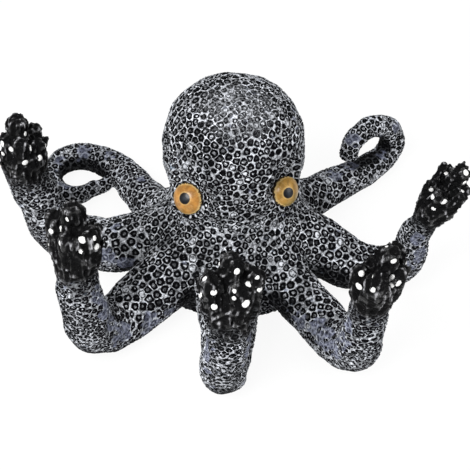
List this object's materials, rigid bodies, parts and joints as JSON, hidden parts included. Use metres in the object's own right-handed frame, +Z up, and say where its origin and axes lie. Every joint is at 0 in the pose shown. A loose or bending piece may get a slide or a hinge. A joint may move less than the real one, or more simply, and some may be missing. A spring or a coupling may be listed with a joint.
{
  "type": "octopus figurine",
  "caption": "Free-standing octopus figurine with a domed head, glossy amber eyes, arms that turn up into black studded tips, and curled back arms.",
  "frame": {"origin": "on the table under the middle of the mantle, at the centre of the base felt's underside", "axes": "+Z up, -Y the way the face looks (about ten degrees towards +X), +X to the right in the picture"},
  "size_m": [0.2514, 0.2114, 0.1196],
  "materials": {
    "painted_resin": "cast relief, dark base coat, pale grey-lavender dry brushing, satin",
    "black_resin": "black, satin, with raised white dots",
    "eye_dome": "clear gloss dome over an amber iris and a black pupil",
    "base_board": "matt black board",
    "steel": "plain steel pin",
    "felt": "black adhesive felt"
  },
  "bodies": {
    "root": {"arm_back": "painted_resin", "arm_back_left": "painted_resin", "arm_back_right": "painted_resin", "arm_dowels": "steel", "arm_front": "painted_resin", "arm_front_left": "painted_resin", "arm_front_right": "painted_resin", "arm_left": "painted_resin", "arm_pads": "felt", "arm_right": "painted_resin", "base_felt": "felt", "base_plate": "base_board", "body_casting": "painted_resin", "eye_left": "eye_dome", "eye_right": "eye_dome", "tip_front": "black_resin", "tip_front_left": "black_resin", "tip_front_right": "black_resin", "tip_left": "black_resin", "tip_pins": "steel", "tip_right": "black_resin"}
  },
  "joints": []
}
